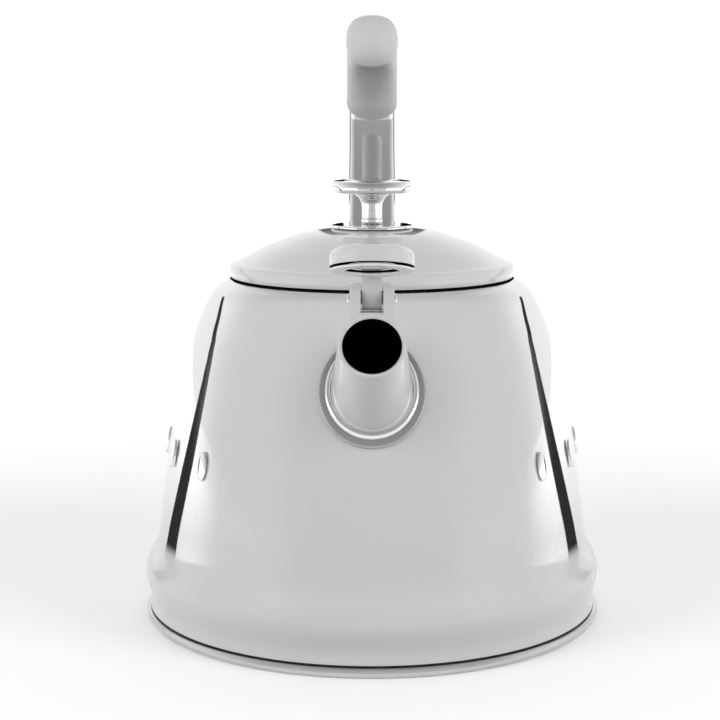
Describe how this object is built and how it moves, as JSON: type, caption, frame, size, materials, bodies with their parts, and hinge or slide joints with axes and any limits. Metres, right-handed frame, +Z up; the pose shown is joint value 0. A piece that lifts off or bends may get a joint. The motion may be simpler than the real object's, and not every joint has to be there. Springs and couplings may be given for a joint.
{
  "type": "stovetop whistling kettle",
  "caption": "Dome-sided enamelled stovetop kettle with a lift-off lid, a flip-up whistle cap on its spout and a one-armed handle that ends free above the lid.",
  "frame": {"origin": "centre of the base, on the surface that the kettle stands on", "axes": "+Z up, the spout points to -Y and the handle rises at +Y, +X to the right as seen from the spout's side"},
  "size_m": [0.2, 0.2566, 0.2604],
  "materials": {
    "enamel": "white gloss enamel",
    "chrome": "mirror chrome plate",
    "steel": "satin stainless steel",
    "aluminium": "plain cast aluminium",
    "grip_plastic": "fine matt white",
    "cap_plastic": "glossy white",
    "silicone": "dark grey, satin"
  },
  "bodies": {
    "kettle_body": {"body_shell": "enamel", "base_pan": "steel", "heat_spreader_disc": "aluminium", "neck_ring": "steel", "side_stud_right_1": "chrome", "side_stud_right_2": "chrome", "side_stud_right_3": "chrome", "side_stud_right_4": "chrome", "side_stud_left_1": "chrome", "side_stud_left_2": "chrome", "side_stud_left_3": "chrome", "side_stud_left_4": "chrome", "spout_tube": "enamel", "spout_flange": "steel", "spout_bead_ring": "chrome", "spout_seal": "silicone", "spout_lock_ring": "steel", "whistle_bracket": "enamel", "hinge_pin": "chrome", "handle_stem": "chrome", "handle_grip": "grip_plastic", "handle_seal": "silicone", "handle_backing_plate": "steel", "grip_screw_rear": "steel", "grip_screw_front": "steel", "handle_bolt_lower": "chrome", "handle_nut_lower": "steel", "handle_bolt_upper": "chrome", "handle_nut_upper": "steel"},
    "lid": {"lid_dome": "enamel", "lid_liner": "steel", "lid_gasket": "silicone", "knob_rosette": "chrome", "knob_post": "chrome", "knob_disc": "chrome", "knob_washer": "steel", "knob_screw": "steel"},
    "whistle_cap": {"cap_shell": "cap_plastic", "cap_ring": "cap_plastic", "cap_disc": "chrome", "cap_arm": "cap_plastic", "cap_screw": "steel", "whistle_cup": "chrome", "whistle_plate": "steel"}
  },
  "joints": [
    {"name": "lid_lift", "type": "slide", "parent": "kettle_body", "child": "lid", "axis": [0, 0, 1], "range_m": [0, 0.04]},
    {"name": "cap_flip", "type": "hinge", "parent": "kettle_body", "child": "whistle_cap", "pos_m": [0, -0.1025, 0.1495], "axis": [1, 0, 0], "range_deg": [0, 72]}
  ]
}
